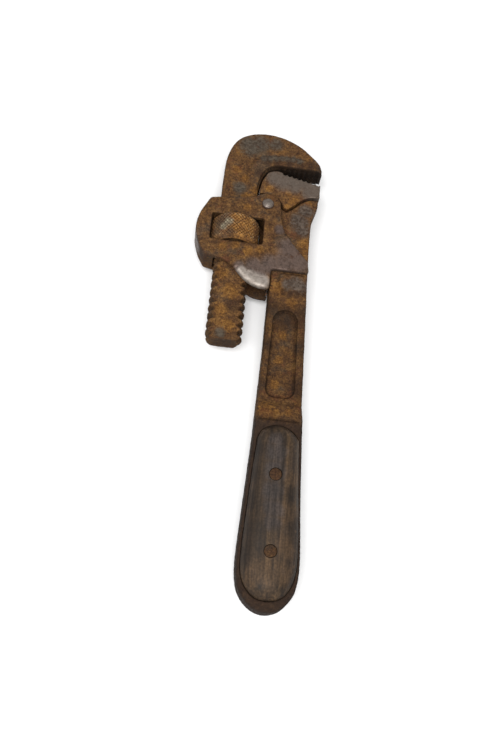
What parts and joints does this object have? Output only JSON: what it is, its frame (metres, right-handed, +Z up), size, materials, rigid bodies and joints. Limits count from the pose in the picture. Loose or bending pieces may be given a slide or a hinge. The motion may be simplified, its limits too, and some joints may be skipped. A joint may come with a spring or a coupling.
{
  "type": "pipe wrench",
  "caption": "Adjustable pipe wrench: toothed hook jaw on a threaded shank, knurled nut in a rocking frame, fixed heel jaw, steel handle with riveted wooden grip scales.",
  "frame": {"origin": "on the surface the wrench lies on, under the centre of its outline seen from above", "axes": "+Y from the butt to the jaws, +Z up out of the front plate, +X across the handle towards the open side of the jaws"},
  "size_m": [0.0626, 0.2407, 0.0238],
  "materials": {
    "handle_bar": "rust-browned forged steel",
    "heel_jaw": "worn grey steel with light rust",
    "heel_jaw_pin": "filed flush, rust-tinted",
    "hook_jaw": "rust-browned forged steel with bare grey patches",
    "adjusting_nut": "ochre rust, knurled",
    "frame": "rust-browned steel, polished by use along its lower lobe",
    "frame_pin": "bright worn dome",
    "frame_spring": "dull spring steel",
    "frame_spring_rivet": "dull steel",
    "jaw_spring": "rust-tinted spring steel",
    "grip_scale_front": "dark worn hardwood",
    "grip_scale_back": "dark worn hardwood",
    "grip_rivet_upper": "filed flush, dark rust",
    "grip_rivet_lower": "filed flush, dark rust"
  },
  "bodies": {
    "handle": {"handle_bar": "handle_bar", "heel_jaw": "heel_jaw", "heel_jaw_pin": "heel_jaw_pin", "frame_pin": "frame_pin", "frame_spring": "frame_spring", "frame_spring_rivet": "frame_spring_rivet", "jaw_spring": "jaw_spring", "grip_scale_front": "grip_scale_front", "grip_scale_back": "grip_scale_back", "grip_rivet_upper": "grip_rivet_upper", "grip_rivet_lower": "grip_rivet_lower"},
    "frame": {"frame": "frame"},
    "hook_jaw": {"hook_jaw": "hook_jaw"},
    "adjusting_nut": {"adjusting_nut": "adjusting_nut"}
  },
  "joints": [
    {"name": "frame_rock", "type": "hinge", "parent": "handle", "child": "frame", "pos_m": [0.00285, 0.07605, 0.0119], "axis": [0, 0, 1], "range_deg": [-0.9, 1.8], "stiffness_Nm_per_rad": 2, "deforming": ["frame_spring", "jaw_spring"]},
    {"name": "jaw_slide", "type": "slide", "parent": "frame", "child": "hook_jaw", "axis": [0, 1, 0], "range_m": [-0.001, 0.036]},
    {"name": "nut_spin", "type": "hinge", "parent": "frame", "child": "adjusting_nut", "pos_m": [-0.0117, 0.06005, 0.0119], "axis": [0, 1, 0], "range_deg": [-3020, 90]}
  ],
  "couplings": [
    {"joint": "nut_spin", "follows": "jaw_slide", "rad_per_m": -1461.2}
  ]
}
